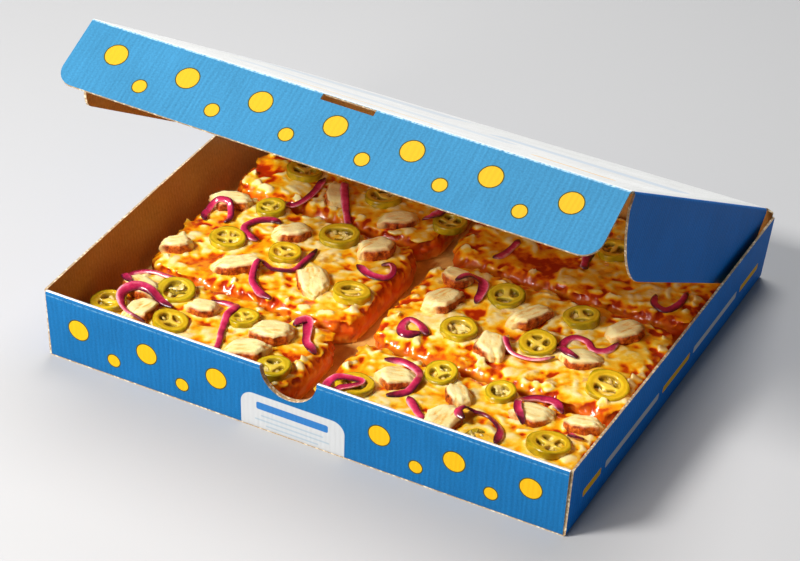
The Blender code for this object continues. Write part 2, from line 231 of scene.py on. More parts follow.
def printed_board(name, colour, marks=None, flute_share=0.05):
    """Coated print over corrugated board: faint flutes, mottled ink, fibres and small specks."""
    paint = Paint(name, Roughness=0.55, Specular_IOR_Level=0.06)
    u, v = paint.on_sheet()
    flutes = (u * FLUTE_TURNS + paint.noise(160, stretch=0.25) * 7.0).math("SINE")
    mottle = paint.noise(900, 4, 0.65)
    shade = (flutes * flute_share + mottle.swing(0.9) + paint.noise(700, stretch=0.06).swing(0.35)
             + paint.noise(22, 3).swing(0.35))
    dark, light, speck = (tuple(min(1.0, c * share) for c in colour) for share in (0.72, 1.3, 0.35))
    ink = paint.mix(shade.step(-0.5, 0.5), dark, light)
    ink = paint.mix(paint.noise(1500, 1).step(0.70, 0.76) * 0.45, ink, speck)
    if marks:
        ink = marks(paint, ink, u, v)
    return paint.finish(ink, flutes * 0.5 + mottle * 0.5 + paint.noise(60) * 2.0, 0.35, 0.0002)


YELLOW, SHADED_YELLOW = (0.74, 0.40, 0.008), (0.64, 0.32, 0.015)
OUTLINE, PALE = (0.05, 0.06, 0.01), (0.50, 0.51, 0.52)


def paint_disc(paint, under, u, v, centre_u, centre_v, radius, colour=YELLOW):
    """A dot with a dark outline, in millimetres on the sheet."""
    distance = ((u - centre_u * MM).math("POWER", 2.0)
                + (v - centre_v * MM).math("POWER", 2.0)).math("SQRT")
    rim = distance.step((radius + 0.8) * MM, (radius + 0.5) * MM)
    core = distance.step((radius + 0.1) * MM, (radius - 0.2) * MM)
    return paint.mix(core, paint.mix(rim, under, OUTLINE), colour)


def paint_box(paint, under, u, v, low, high, colour, corner, soft=0.3):
    """A rounded rectangle from its low corner to its high corner, in millimetres on the sheet."""
    outside = []
    for value, start, end in zip((u, v), low, high):
        off = (value - (start + end) / 2 * MM).math("ABSOLUTE") - ((end - start) / 2 - corner) * MM
        outside.append(off.math("MAXIMUM").math("POWER", 2.0))
    distance = (outside[0] + outside[1]).math("SQRT")
    return paint.mix(distance.step((corner + soft / 2) * MM, (corner - soft / 2) * MM), under, colour)


def front_marks(paint, ink, u, v):
    for k in range(5):
        for side in (-1, 1):
            ink = paint_disc(paint, ink, u, v, side * (52 + 23 * k), *((12, 4) if k % 2 else (25, 6.5)))
    ink = paint_box(paint, ink, u, v, (-36, -12), (30.5, 24), PALE, 8)
    ink = paint_box(paint, ink, u, v, (-26, 14), (20, 19), (0.03, 0.16, 0.42), 1.2)
    for low, half in ((9.4, 20), (6.2, 24), (3.0, 17)):
        ink = paint_box(paint, ink, u, v, (-3 - half, low), (-3 + half, low + 1.1), (0.35, 0.42, 0.48), 0.4)
    # Painted highlight: a pale blue line, broken by noise, along the crease below the rolled top.
    crease = (v - 42.6 * MM).math("ABSOLUTE").step(1.0 * MM, 0.1 * MM) * paint.noise(500, 3).step(0.3, 0.7)
    return paint.mix(crease * 0.75, ink, (0.14, 0.36, 0.58))


def side_marks(paint, ink, u, v):
    for start, end, colour in ((-128, -104, YELLOW), (-98, -24, PALE), (-18, 22, YELLOW), (28, 96, PALE),
                               (102, 132, YELLOW)):
        ink = paint_box(paint, ink, u, v, (start, 14.5), (end, 19.5), colour, 1.2)
    return ink


def tuck_marks(paint, ink, u, v):
    for k in range(13):
        ink = paint_disc(paint, ink, u, v, 23 * k - 138, *((31, 4) if k % 2 else (17, 6.5)), SHADED_YELLOW)
    fold = v.math("ABSOLUTE").step(1.2 * MM, 0.3 * MM) * paint.noise(600, 3).step(0.25, 0.7)
    return paint.mix(v.step(-0.2 * MM, -0.5 * MM), paint.mix(fold, ink, (0.45, 0.66, 0.80)),
                     (0.78, 0.79, 0.80))


def lid_marks(paint, ink, u, v):
    for low, high, colour in (((-150, 40), (-20, 90), (0.66, 0.70, 0.75)),
                              ((30, 120), (150, 150), (0.62, 0.68, 0.75)),
                              ((-120, 170), (60, 196), (0.68, 0.72, 0.76)),
                              ((90, 230), (140, 236), (0.85, 0.55, 0.25)),
                              ((-60, 240), (40, 245), (0.85, 0.62, 0.35))):
        ink = paint_box(paint, ink, u, v, low, high, colour, 3, 1)
    return ink


def bare_board(name, grease=0.0):
    """The board's brown inside: paper fibres, faint flute shadows, and grease near the food in a bright gold
    that is partly painted light.
    """
    paint = Paint(name, Roughness=0.72, Specular_IOR_Level=0.3)
    u, _ = paint.on_sheet()
    fibre = paint.noise(1400, 4, 0.7, stretch=0.25)
    colour = paint.ramp(fibre * 0.8 + paint.noise(35, 3) * 0.2,
                        (0.3, 0.38, 0.150, 0.020), (0.5, 0.55, 0.25, 0.050), (0.72, 0.64, 0.33, 0.085))
    flutes = (u * FLUTE_TURNS).math("SINE")
    colour = paint.mix(flutes.step(-1, 1) * 0.10, colour, (0.16, 0.07, 0.02))
    if grease:
        # Grease stains plus a gold wash over the whole floor, so bright that it is partly painted light
        # standing in for warm light between the slices.
        stains = paint.noise(45, 4, 0.6).step(0.38, 0.62) * (0.5 * grease) + 0.5 * grease
        colour = paint.mix(stains, colour, (0.96, 0.60, 0.16))
    return paint.finish(colour, fibre + flutes * 0.25, 0.5, 0.0002)


def cut_edge():
    """A cut through the board: pale paper, with painted shade for the hollows of its corrugated core."""
    paint = Paint("cut_edge", Roughness=0.8, Specular_IOR_Level=0.2)
    grain = paint.noise(900, 3, 0.6)
    # Painted shade: dark spots where the corrugated core's holes are.
    hollows = paint.node("TexVoronoi", output="Distance", Vector=paint.coords, Scale=420).step(0.28, 0.50)
    colour = paint.ramp(grain, (0.3, 0.50, 0.34, 0.17), (0.5, 0.76, 0.62, 0.40), (0.7, 0.90, 0.82, 0.64))
    return paint.finish(paint.mix(hollows * 0.6, colour, (0.22, 0.11, 0.04)), grain, 0.6, 0.0003)


def cheese_material():
    """Sauce, melted cheese from thin to thick, painted shade in the hollows and painted highlight on the
    ridges, and the baked crust at the sides.
    """
    paint = Paint("baked_cheese", Specular_IOR_Level=0.42, Subsurface_Weight=0.12,
                  Subsurface_Radius=(0.004, 0.002, 0.0006), Subsurface_Scale=1.0, Coat_Weight=0.35,
                  Coat_Roughness=0.06)
    fine, blotch, broad = paint.noise(700, 4, 0.6), paint.noise(130, 3, 0.55), paint.noise(32)
    hollow = paint.attribute("hollow")
    # Painted shade and highlight: the tone drops in the mesh's hollows and rises on its ridges.
    tone = (paint.attribute("thick") * 0.50 + 0.13 + (0.55 - hollow) * 0.85 + fine.swing(0.14)
            + blotch.swing(0.55) + broad.swing(0.75))
    top = paint.ramp(tone, (0.08, 0.44, 0.022, 0.002), (0.20, 0.72, 0.10, 0.003), (0.33, 0.90, 0.30, 0.005),
                     (0.48, 0.97, 0.46, 0.007), (0.64, 0.99, 0.65, 0.06), (0.86, 0.99, 0.85, 0.40))
    level = paint.attribute("level") + blotch.swing(0.6)
    wall = paint.ramp(level, (0.0, 0.90, 0.48, 0.08), (0.20, 0.84, 0.24, 0.012), (0.45, 0.72, 0.07, 0.003),
                      (0.8, 0.86, 0.19, 0.006))
    knobs = paint.attribute("bulge") * (level + broad).step(0.75, 1.3)
    wall = paint.mix(knobs * 0.85, wall, (0.93, 0.48, 0.03))
    # Painted shade: dark red-brown in the hollows of the sides.
    wall = paint.mix(hollow.step(0.50, 0.80), wall, (0.42, 0.035, 0.003))
    wall = paint.mix(broad.step(0.45, 0.65) * 0.5, wall, (0.46, 0.08, 0.006))
    colour = paint.mix(paint.attribute("side"), top, wall)
    colour = paint.mix(paint.noise(90, 3, 0.6).step(0.58, 0.72) * 0.55, colour, (0.50, 0.13, 0.012))
    paint.put(paint.inputs["Roughness"], paint.noise(260).step(0.3, 0.7) * 0.16 + 0.10)
    return paint.finish(colour, fine * 0.4 + blotch * 1.5, 0.4, 0.0005)


def pepper_material():
    """Pickled green pepper: olive skin, paler flesh, yellowish core and seeds, wet."""
    paint = Paint("pickled_pepper", Roughness=0.18, Specular_IOR_Level=0.5, Subsurface_Weight=0.3,
                  Subsurface_Radius=(0.004, 0.004, 0.001), Subsurface_Scale=1.0, Coat_Weight=0.35,
                  Coat_Roughness=0.08)
    blotch = paint.noise(300, 3, 0.6)
    far = paint.attribute("far")
    flesh = paint.ramp(far + blotch.swing(0.16), (0.10, 0.95, 0.72, 0.12), (0.60, 0.84, 0.59, 0.035),
                       (0.74, 0.68, 0.47, 0.012), (0.86, 0.78, 0.56, 0.025), (0.92, 0.56, 0.42, 0.012),
                       (0.98, 0.38, 0.28, 0.004))
    skin = paint.mix(paint.noise(120).step(0.35, 0.7), (0.32, 0.23, 0.003), (0.66, 0.47, 0.010))
    side = paint.mix(far.step(0.82, 0.92), (0.50, 0.36, 0.03), skin)
    colour = paint.mix(paint.attribute("cut"), side, flesh)
    # Painted shade: the low parts inside the ring, chamber floors and lower walls, go dark and olive as the
    # shade down each chamber.
    pit = paint.mix(blotch.step(0.42, 0.62), (0.13, 0.07, 0.003), (0.60, 0.40, 0.03))
    colour = paint.mix(paint.attribute("pit") * 0.85, colour, pit)
    colour = paint.mix(paint.attribute("seed"), colour, (0.88, 0.70, 0.26))
    tint = paint.mix(paint.attribute("piece"), (0.84, 0.88, 0.8), (1.08, 1.02, 0.9))
    return paint.finish(paint.mix(1.0, colour, tint, blend="MULTIPLY"), paint.noise(900, 3, 0.6), 0.25,
                        0.0003)


def chicken_material():
    """Cooked breast: cream fibres, golden cut edges, browned rough skin side."""
    paint = Paint("chicken_breast", Roughness=0.42, Specular_IOR_Level=0.3, Subsurface_Weight=0.12,
                  Subsurface_Radius=(0.004, 0.002, 0.001), Subsurface_Scale=1.0)
    fine, spots = paint.noise(800, 4, 0.65), paint.noise(300, 3, 0.7)
    # Painted shade: the cream tone drops toward gold in the meat's hollows.
    fibre = paint.attribute("fibre") + fine.swing(0.2) + (0.5 - paint.attribute("hollow")) * 0.9
    cream = paint.ramp(fibre, (0.0, 0.90, 0.50, 0.10), (0.2, 0.97, 0.72, 0.25), (0.38, 0.99, 0.84, 0.37),
                       (0.75, 1.0, 0.90, 0.47))
    golden = paint.mix(spots.step(0.35, 0.65), (0.84, 0.34, 0.03), (0.97, 0.66, 0.19))
    colour = paint.mix(paint.attribute("edge") * 0.55, cream, golden)
    colour = paint.mix(paint.attribute("rim") * 0.75, colour, (0.80, 0.36, 0.05))
    brown = paint.ramp(spots + fine.swing(0.4), (0.3, 0.09, 0.012, 0.002), (0.48, 0.38, 0.052, 0.004),
                       (0.7, 0.74, 0.20, 0.015))
    return paint.finish(paint.mix(paint.attribute("brown"), colour, brown), fine + spots, 0.5, 0.0005)


def onion_material():
    """Roasted red onion: magenta skin, paler inner face, dark charred ends, oily."""
    paint = Paint("red_onion", Roughness=0.2, Specular_IOR_Level=0.6, Subsurface_Weight=0.15,
                  Subsurface_Radius=(0.003, 0.001, 0.001), Subsurface_Scale=1.0, Coat_Weight=0.25,
                  Coat_Roughness=0.1)
    blotch = paint.noise(170, 3, 0.6)
    colour = paint.ramp(paint.attribute("outer") + blotch.swing(0.9),
                        (0.0, 0.92, 0.42, 0.48), (0.24, 0.76, 0.06, 0.18), (0.54, 0.50, 0.014, 0.085),
                        (0.84, 0.20, 0.007, 0.04), (1.0, 0.08, 0.006, 0.025))
    ends = (paint.attribute("along") - 0.5).math("ABSOLUTE")
    char = (ends + blotch * 0.2).step(0.44, 0.60) * 0.85
    return paint.finish(paint.mix(char, colour, (0.025, 0.006, 0.008)), paint.noise(900, 3, 0.6), 0.25,
                        0.0003)


# ---------------------------------------------------------------- sheets of board
def link_mesh(name, mesh, materials):
    for material in materials:
        mesh.materials.append(material)
    return link(name, mesh)


def into_mesh(shape, mesh):
    """Writes a bmesh to a mesh and frees it."""
    shape.to_mesh(mesh)
    shape.free()
    return mesh


def evaluated(thing, **options):
    graph = bpy.context.evaluated_depsgraph_get()
    return bpy.data.meshes.new_from_object(thing.evaluated_get(graph), depsgraph=graph, **options)


def freeze(thing):
    """Applies a piece's modifiers, so that its mesh is final."""
    mesh, old = evaluated(thing, preserve_all_data_layers=True), thing.data
    thing.modifiers.clear()
    thing.data = mesh
    mesh.name = thing.name
    bpy.data.meshes.remove(old)
    return thing


def board_sheet(name, points, uv, materials, offset=-1.0, groups=None):
    """A grid of points as board with thickness: print outside, bare inside, cut edges round it.
    materials are groups of three (outside, inside, edge), and groups gives each column of faces its group."""
    points, uv = np.array([[tuple(p) for p in row] for row in points], float), np.asarray(uv, float)
    rows, columns = points.shape[:2]
    index = np.arange(rows * columns).reshape(rows, columns)
    quads = np.stack([index[:-1, :-1], index[:-1, 1:], index[1:, 1:], index[1:, :-1]], -1).reshape(-1, 4)
    mesh = bpy.data.meshes.new(name)
    mesh.from_pydata(points.reshape(-1, 3).tolist(), [], quads.tolist())
    layer = mesh.uv_layers.new(name="sheet")
    layer.data.foreach_set("uv", uv.reshape(-1, 2)[quads.ravel()].astype(np.float32).ravel())
    thing = link_mesh(name, mesh, materials)
    if groups:
        mesh.polygons.foreach_set("material_index", np.tile(3 * np.array(groups, np.int32), rows - 1))
    mesh.shade_smooth()
    solid = thing.modifiers.new("board", "SOLIDIFY")
    solid.thickness, solid.offset, solid.use_even_offset = BOARD, offset, True
    solid.material_offset, solid.material_offset_rim = 1, 2
    freeze(thing)
    thing.data.set_sharp_from_angle(angle=math.radians(40))
    return thing


def cut_out(thing, shape, edge):
    """Cuts a bmesh's shape out of a piece, and shows the board's cut edge there."""
    for face in shape.faces:
        face.material_index = 2
    cutter = link_mesh("cutter", into_mesh(shape, bpy.data.meshes.new("cutter")), (edge, edge, edge))
    cut = thing.modifiers.new("cut", "BOOLEAN")
    cut.object, cut.operation, cut.solver = cutter, "DIFFERENCE", "EXACT"
    freeze(thing)
    bpy.data.objects.remove(cutter)


def spread(start, end, count):
    return [start + (end - start) * i / count for i in range(count + 1)]


# from the floor up into a wall: distance in from the wall's face, and height
FLOOR_BEND = [(FOLD * (1 - math.sin(a)), FOLD * (1 - math.cos(a))) for a in spread(0, QUARTER, 4)]


def wall_lean(x, y, z):
    """How far a side wall leans outward at a height, on the side where x is."""
    side = math.copysign(1, x)
    front, back = LEAN_LEFT if side < 0 else LEAN_RIGHT
    along = min(max((y + DEPTH / 2) / DEPTH, 0.0), 1.0)
    bow = 0.9 * MM * math.sin(math.pi * along) * z / WALL
    return side * ((front + (back - front) * along) * z / WALL + bow)


def side_walls(blue_side, blue_plain, kraft, greasy, edge):
    """Both side walls and the floor between them, in one bent sheet."""
    wall = [(-1, z) for z in reversed(spread(FOLD, WALL, 9))]
    left = wall + [(-1 + FOLD * (1 - math.cos(a)) / (WIDTH / 2), FOLD * (1 - math.sin(a)))
                   for a in spread(0, QUARTER, 4)][1:]
    right = [(-x, z) for x, z in reversed(left)]
    profile = left + [(x, 0.0) for x in spread(left[-1][0], right[0][0], 30)][1:-1] + right
    in_wall = [abs(x) > 0.985 for x, z in profile]
    points, uvs = [], []
    for y in reversed(spread(-DEPTH / 2 + 0.4 * MM, DEPTH / 2 - 0.2 * MM, 40)):
        points.append([(x * WIDTH / 2 + (wall_lean(x, y, z) if abs(x) > 0.97 else 0), y, z)
                       for x, z in profile])
        uvs.append([(y, z) if up else (x * WIDTH / 2, y) for up, (x, z) in zip(in_wall, profile)])
    groups = [0 if a and b else 1 for a, b in zip(in_wall, in_wall[1:])]
    return board_sheet("tray_sides", points, uvs, (blue_side, kraft, edge, blue_plain, greasy, edge),
                       groups=groups)


def front_wall(blue_front, white, kraft, edge):
    """The front wall, rolled over at the top into its inner layer, with the thumb notch."""
    roll, groove = 1.62 * MM, 42.2 * MM
    section = FLOOR_BEND + [(0.0, z) for z in spread(FOLD, groove - 0.9 * MM, 12)][1:]
    section += [(0.28 * MM, groove), (0.03 * MM, groove + 0.8 * MM)]
    liner_start = len(section) + 3
    section += [(roll - roll * math.cos(a), WALL - roll + roll * math.sin(a))
                for a in spread(0, math.pi, 10)]
    liner_end = len(section) - 1
    section += [(2 * roll, z) for z in spread(WALL - roll, 1.6 * MM, 10)][1:]
    length = np.cumsum([0] + [math.dist(a, b) for a, b in zip(section, section[1:])])
    length = length - length[4] + FOLD
    groups = [0 if i < liner_start else 1 if i < liner_end else 2 for i in range(len(section) - 1)]
    points, uvs = [], []
    for x in spread(1, -1, 110):
        points.append([(x * (WIDTH / 2 - BOARD - 0.15 * MM + (2.0 if x < 0 else 1.2) * MM * z / WALL),
                        -DEPTH / 2 - LEAN_FRONT * z / WALL + deep, z) for deep, z in section])
        uvs.append([(x * WIDTH / 2, v) for v in length])
    front = board_sheet("tray_front", points, uvs,
                        (blue_front, kraft, edge, white, kraft, edge, kraft, kraft, edge), groups=groups)
    notch = bmesh.new()
    place = Matrix.Translation((-5.6 * MM, -DEPTH / 2, WALL)) @ Matrix.Rotation(QUARTER, 4, "X")
    bmesh.ops.create_cone(notch, cap_ends=True, segments=64, radius1=18 * MM, radius2=18 * MM,
                          depth=30 * MM, matrix=place)
    cut_out(front, notch, edge)
    return front


def build_tray(blue_front, blue_side, blue_plain, white, kraft, greasy, edge):
    things = [side_walls(blue_side, blue_plain, kraft, greasy, edge),
              front_wall(blue_front, white, kraft, edge)]
    section = FLOOR_BEND + [(0.0, z) for z in spread(FOLD, BACK_TOP, 10)][1:]
    points, uvs = [], []
    for x in spread(-1, 1, 40):
        points.append([(x * (WIDTH / 2 - BOARD) + wall_lean(x, DEPTH / 2, z) * abs(x), DEPTH / 2 - deep, z)
                       for deep, z in section])
        uvs.append([(-x * WIDTH / 2, z) for deep, z in section])
    things.append(board_sheet("tray_back", points, uvs, (blue_plain, kraft, edge)))
    tray = things[0]
    with bpy.context.temp_override(active_object=tray, selected_editable_objects=things):
        bpy.ops.object.join()
    tray.name = "box_tray_board"
    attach(tray, "tray")
    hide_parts("box_tray")


def lid_directions(side):
    """From a hinge's end along the lid's side edge, and down from the lid, on the left (-1) or right (1)."""
    angle = LID_OPEN - side * LID_TWIST / 2
    return Vector((0, -math.cos(angle), math.sin(angle))), Vector((0, -math.sin(angle), -math.cos(angle)))


def edge_point(side, distance):
    return Vector((side * LID_HALF, HINGE.y, HINGE.z)) + lid_directions(side)[0] * distance


def lid_point(x, distance):
    """A point of the lid's panel: x from -1 to 1 across it, distance from the hinge."""
    return edge_point(-1, distance).lerp(edge_point(1, distance), (x + 1) / 2)


def flap_depth(side, distance):
    back, end = 4 * MM, LID_LENGTH - 1.7 * MM
    start, power = (0.93 * LID_LENGTH, 0.62) if side < 0 else (0.79 * LID_LENGTH, 0.74)
    if distance < 3 * back:
        return max(FLAP_DEPTH * (distance - back) / (2 * back), 0.3 * MM)
    if distance < start:
        return FLAP_DEPTH
    share = min((distance - start) / (end - start), 1.0)
    return max(FLAP_DEPTH * (1 - share ** 2) ** power, 0.3 * MM)


def flap_row(side, distance):
    """A side flap's points and coordinates from its lower edge up and round onto the lid's panel."""
    bend = 1.3 * MM
    crease, inward = edge_point(side, distance), Vector((-side, 0, 0))
    down = lid_directions(side)[1] * math.cos(FLAP_LEAN) + inward * math.sin(FLAP_LEAN)
    depth = flap_depth(side, distance)
    reach = min(bend, 0.9 * depth)
    levels = [reach + (depth - reach) * (1 - i / 8) for i in range(9)]
    points, uv = [crease + down * level for level in levels], [(distance, -level) for level in levels]
    for a in spread(0, QUARTER, 4)[1:]:
        points.append(crease + down * reach * (1 - math.sin(a)) + inward * bend * (1 - math.cos(a)))
        uv.append((distance, bend * math.sin(a) - bend))
    return points, uv


def build_lid(white, blue_plain, kraft, edge):
    """Panel and side flaps in one bent sheet; the mid-surface is the CAD's."""
    first, curve_start, last = 4.5 * MM, 0.79 * LID_LENGTH, 276 * MM
    stations = spread(first, 12 * MM, 4) + spread(12 * MM, curve_start, 24)[1:]
    stations += [curve_start + (last - curve_start) * math.sin(QUARTER * i / 20) for i in range(1, 21)]
    points, uvs = [], []
    for s in reversed(stations):
        (left, left_uv), (right, right_uv) = flap_row(-1, s), flap_row(1, s)
        across = spread(0, 1, 36)[1:-1]
        points.append(left + [left[-1].lerp(right[-1], k) for k in across] + right[::-1])
        uvs.append(left_uv + [(LID_HALF * (2 * k - 1), s) for k in across] + right_uv[::-1])
    flap_columns = 11
    panel_columns = len(points[0]) - 1 - 2 * flap_columns
    lid = board_sheet("box_lid_board", points, uvs, (white, kraft, edge, blue_plain, kraft, edge), offset=0.0,
                      groups=[1] * flap_columns + [0] * panel_columns + [1] * flap_columns)
    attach(lid, "lid")
    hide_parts("box_lid")
    return first, last


def build_back_crease(white, blue_plain, kraft, edge, first):
    """The crease from the back wall's top over to the lid, one bent strip."""
    heights = spread(BACK_TOP, 48.2 * MM, 4)
    points, uvs = [], []
    for x in spread(-1, 1, 40):
        wall_x = x * (WIDTH / 2 - BOARD) + wall_lean(x, DEPTH / 2, WALL) * abs(x)
        points.append([(wall_x, DEPTH / 2 - BOARD / 2, z) for z in heights]
                      + [(x * LID_HALF, HINGE.y - 0.1 * MM, HINGE.z - 0.2 * MM), lid_point(x, 2.2 * MM),
                         lid_point(x, first)])
        uvs.append([(-x * WIDTH / 2, z) for z in heights + [HINGE.z]]
                   + [(x * LID_HALF, 2 * MM), (x * LID_HALF, first)])
    strip = board_sheet("box_back_crease", points, uvs, (blue_plain, kraft, edge, white, kraft, edge),
                        offset=0.0, groups=[0, 0, 0, 0, 0, 0, 1])
    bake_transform(strip)


def build_tuck_flap(tuck_print, kraft, edge, last):
    """The lid's last strip, its front crease and the tuck flap below it."""
    left, right = edge_point(-1, LID_LENGTH), edge_point(1, LID_LENGTH)
    crease, middle = (right - left).normalized(), (left + right) / 2
    along = Vector((0, -math.cos(LID_OPEN), math.sin(LID_OPEN)))
    along = (along - crease * along.dot(crease)).normalized()
    outward = Matrix.Rotation(TUCK_FOLD, 3, crease) @ along
    bend, corner = 1.6 * MM, 11 * MM
    depths = spread(bend, TUCK_DEPTH - corner, 10)
    depths += [TUCK_DEPTH - corner + corner * math.sin(a) for a in spread(0, QUARTER, 8)][1:]
    points, uvs = [], []
    for x in spread(-1, 1, 120):
        stations = spread(last, LID_LENGTH - bend, 2)
        column = [lid_point(x, s) for s in stations]
        uv = [(x * LID_HALF, s - LID_LENGTH) for s in stations]
        for a in spread(0, 1, 6)[1:]:
            before, after = middle - along * bend * (1 - a) ** 2, outward * bend * a ** 2
            column.append(before + after + crease * x * (LID_HALF + (TUCK_HALF - LID_HALF) * a))
            uv.append((x * LID_HALF, -bend + 2 * bend * a))
        for depth in depths[1:]:
            half = TUCK_HALF
            if depth > TUCK_DEPTH - corner:
                half -= corner - math.sqrt(max(corner ** 2 - (depth - TUCK_DEPTH + corner) ** 2, 0.0))
            column.append(middle + outward * depth + crease * x * half)
            uv.append((x * half, depth))
        points.append(column)
        uvs.append(uv)
    flap = board_sheet("box_tuck_flap_board", points, uvs, (tuck_print, kraft, edge), offset=0.0)
    slot_width, slot_height, cutter_depth = 32.4 * MM, 4.2 * MM, 8 * MM
    normal = crease.cross(outward)
    slot = bmesh.new()
    bmesh.ops.create_cube(slot, size=1.0)
    slot.transform(axes_matrix(crease * slot_width, outward * slot_height, normal * cutter_depth,
                               middle + outward * slot_height / 2))
    bmesh.ops.bevel(slot, geom=[e for e in slot.edges
                                if abs((e.verts[0].co - e.verts[1].co).normalized().dot(normal)) > 0.9],
                    offset=1.3 * MM, segments=4, affect="EDGES")
    cut_out(flap, slot, edge)
    fold = (along + outward).normalized()
    middle - fold * 1.3 * MM
    middle + fold * 1.3 * MM
    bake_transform(flap)
    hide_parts("box_tuck_flap")


# ---------------------------------------------------------------- noise for the food's shapes
def value_noise(points, seed=0):
    """Smooth noise from -1 to 1 at an array of points."""
    cell = np.floor(points).astype(np.int64)
    part = points - cell
    part = part * part * (3 - 2 * part)
    total = np.zeros(len(points))
    for corner in range(8):
        offset = np.array([corner & 1, corner >> 1 & 1, corner >> 2 & 1])
        c = cell + offset
        h = (c[:, 0] * 374761393 + c[:, 1] * 668265263 + c[:, 2] * 1442695041
             + seed * 1274126177) & 0xffffffff
        h = ((h ^ (h >> 13)) * 1274126177) & 0xffffffff
        weight = np.prod(np.where(offset, part, 1 - part), axis=1)
        total += ((h ^ (h >> 16)) / 0xffffffff * 2 - 1) * weight
    return total


def layered_noise(points, size, octaves=3, seed=0):
    """Layers of noise, each half the size and half the strength of the last."""
    total, strength = np.zeros(len(points)), 1.0
    for k in range(octaves):
        total += strength * value_noise(points / (size / 2 ** k) + 17.3 * k, seed + k)
        strength *= 0.5
    return total / (2 - 0.5 ** (octaves - 1))


def smooth_step(value, low, high):
    t = np.clip((value - low) / (high - low), 0, 1)
    return t * t * (3 - 2 * t)


# ---------------------------------------------------------------- food meshes
ball = bmesh.new()
bmesh.ops.create_icosphere(ball, subdivisions=1, radius=1.0)
BALL = np.array([v.co for v in ball.verts])
BALL_FACES = np.array([[v.index for v in f.verts] for f in ball.faces])
ball.free()


def strands(centres, length, radius, flatness, turn, bend, pitch=0.0):
    """Many short rounded strands in one go: an array of points and one of triangles."""
    n = len(centres)
    length, radius, flatness, turn, bend, pitch = (np.broadcast_to(a, n)[:, None] for a in
                                                   (length, radius, flatness, turn, bend, pitch))
    x = BALL[None, :, 0] * radius + np.clip(1.7 * BALL[None, :, 0], -1, 1) * length / 2
    y = BALL[None, :, 1] * radius + bend * x ** 2
    z = BALL[None, :, 2] * radius * flatness + x * pitch
    cos, sin = np.cos(turn), np.sin(turn)
    points = np.stack([x * cos - y * sin, x * sin + y * cos, z], 2) + centres[:, None, :]
    faces = BALL_FACES[None] + (np.arange(n) * len(BALL))[:, None, None]
    return points.reshape(-1, 3), faces.reshape(-1, 3)


def add_to_mesh(mesh, points, faces):
    """One mesh of a mesh's own faces and more triangles, for the remesh to fuse."""
    old = points_of(mesh)
    polygons = [tuple(p.vertices) for p in mesh.polygons]
    joined = bpy.data.meshes.new(mesh.name)
    joined.from_pydata(np.concatenate([old, points]).tolist(), [], polygons + (faces + len(old)).tolist())
    return joined


def remeshed(name, mesh, voxel, materials, smooth=0):
    thing = link_mesh(name, mesh, materials)
    remesh = thing.modifiers.new("remesh", "REMESH")
    remesh.mode, remesh.voxel_size = "VOXEL", voxel
    if smooth:
        relax = thing.modifiers.new("relax", "SMOOTH")
        relax.iterations, relax.factor = smooth, 0.5
    return freeze(thing)


def vectors(items, what):
    values = np.zeros(len(items) * 3, np.float32)
    items.foreach_get(what, values)
    return values.reshape(-1, 3).astype(float)


def points_of(mesh):
    return vectors(mesh.vertices, "co")


def normals_of(mesh):
    return vectors(mesh.vertex_normals, "vector")


def set_points(mesh, points):
    mesh.vertices.foreach_set("co", points.astype(np.float32).ravel())
    mesh.update()


def set_attributes(mesh, **attributes):
    for name, values in attributes.items():
        values = np.broadcast_to(values, len(mesh.vertices)).astype(np.float32)
        mesh.attributes.new(name, "FLOAT", "POINT").data.foreach_set("value", values)


def hollowness(mesh, times=4):
    """How far each point lies below its surroundings, in metres: more than 0 in a crevice."""
    co, normal = points_of(mesh), normals_of(mesh)
    edges = np.zeros(len(mesh.edges) * 2, np.int32)
    mesh.edges.foreach_get("vertices", edges)
    a, b = edges.reshape(-1, 2).T
    ends, others = np.concatenate([a, b]), np.concatenate([b, a])
    count = np.maximum(np.bincount(ends, minlength=len(co)), 1)
    around = co
    for _ in range(times):
        around = np.stack([np.bincount(ends, around[others, k], len(co)) for k in range(3)], 1)
        around /= count[:, None]
    return np.einsum("ij,ij->i", around - co, normal)


WELD = 0.02 * MM


def cad_mesh(node):
    """A copy of a CAD node's mesh, closed, for the remesh."""
    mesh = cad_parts[node].data.copy()
    mesh.materials.clear()
    shape = bmesh.new()
    shape.from_mesh(mesh)
    bmesh.ops.remove_doubles(shape, verts=shape.verts, dist=WELD)
    return into_mesh(shape, mesh)


def tube_mesh(rings):
    """A mesh through rings of equally many points, closed at both ends."""
    rows, count = len(rings), len(rings[0])
    faces = [(i * count + k, i * count + (k + 1) % count,
              (i + 1) * count + (k + 1) % count, (i + 1) * count + k)
             for i in range(rows - 1) for k in range(count)]
    faces += [tuple(reversed(range(count))), tuple(range((rows - 1) * count, rows * count))]
    mesh = bpy.data.meshes.new("tube")
    mesh.from_pydata([point for ring in rings for point in ring], [], faces)
    return mesh


def slice_outline(lo, hi, inset, corner, steps=10):
    """A rounded rectangle inset from a slice's footprint, and each point's outward direction."""
    points, outward = [], []
    for quadrant, sign in enumerate(((1, 1), (-1, 1), (-1, -1), (1, -1))):
        middle = [(h + l) / 2 + s * ((h - l) / 2 - inset - corner) for l, h, s in zip(lo, hi, sign)]
        for angle in spread(quadrant * QUARTER, (quadrant + 1) * QUARTER, steps):
            points.append((middle[0] + corner * math.cos(angle), middle[1] + corner * math.sin(angle)))
            outward.append(angle)
    return points, outward


def slice_core(lo, hi, corner):
    """The bread under the cheese: straight sides that lean in and round over at the top."""
    levels = (0.4, 1.4), (5.5, 0.8), (10.0, 1.6), (13.2, 3.0), (15.8, 5.6), (17.2, 9.5)
    return tube_mesh([[(x, y, z * MM) for x, y
                       in slice_outline(lo, hi, inset * MM, corner - inset * 0.5 * MM)[0]]
                      for z, inset in levels])


